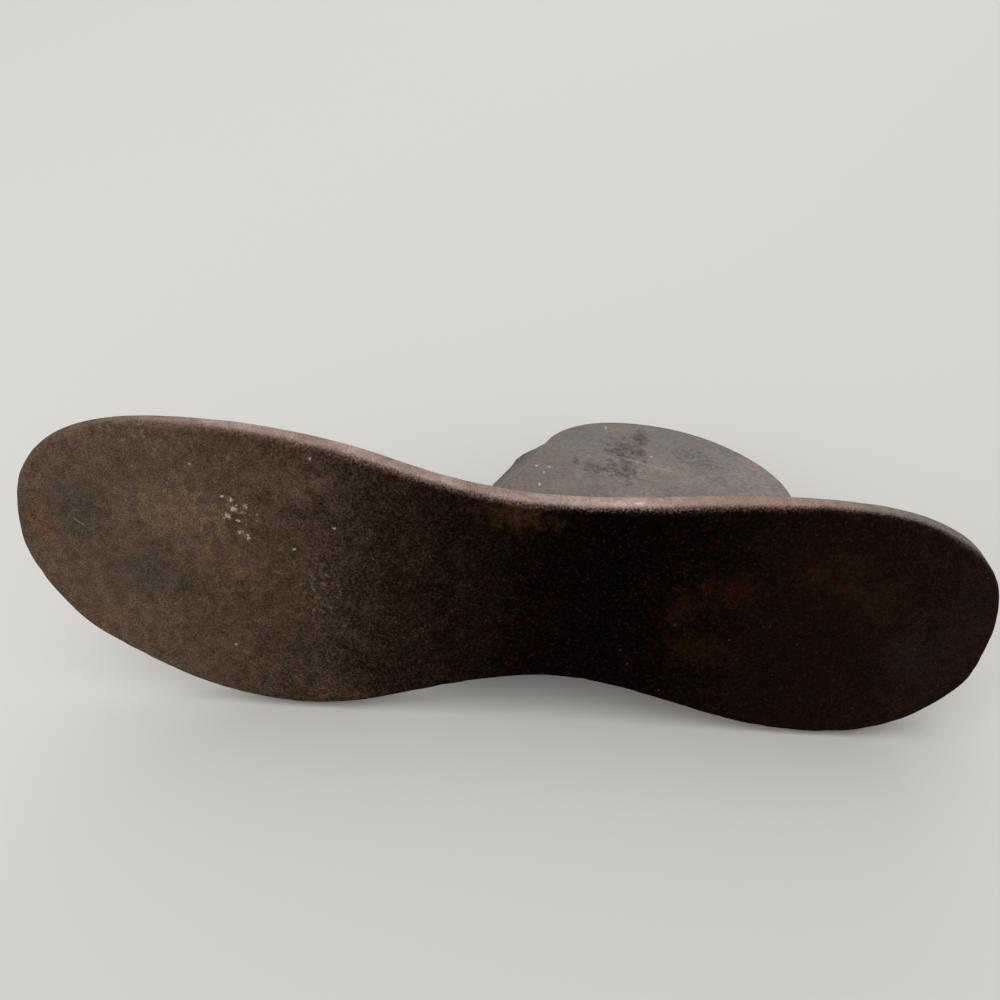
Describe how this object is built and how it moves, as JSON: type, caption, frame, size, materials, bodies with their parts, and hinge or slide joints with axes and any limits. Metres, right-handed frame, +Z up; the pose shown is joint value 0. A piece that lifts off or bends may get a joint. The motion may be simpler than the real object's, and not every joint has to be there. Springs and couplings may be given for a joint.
{
  "type": "cobbler anvil",
  "caption": "Cast iron cobbler's anvil: a foot-shaped sole plate and a heel-shaped plate set square to each other on a gusseted leg, for hammering shoe soles and heels.",
  "frame": {"origin": "on the resting surface, under the middle of the anvil's bounding box", "axes": "+Z up; +X along the sole from toe to heel; +Y back, away from the sole's face; the anvil lies as it is set down, on the sole's long edge and the pad under the leg"},
  "size_m": [0.2294, 0.092, 0.0781],
  "materials": {
    "rusted_iron": "old brown rust patina, matte, finely pitted",
    "worn_iron": "brown-grey iron worn smooth by hammering, satin"
  },
  "bodies": {
    "root": {"sole_plate": "rusted_iron", "heel_plate": "worn_iron", "leg": "rusted_iron", "toe_gusset": "rusted_iron", "heel_gusset": "rusted_iron", "breast_shoulder": "worn_iron", "root_fillet": "rusted_iron", "rest_foot": "rusted_iron"}
  },
  "joints": []
}
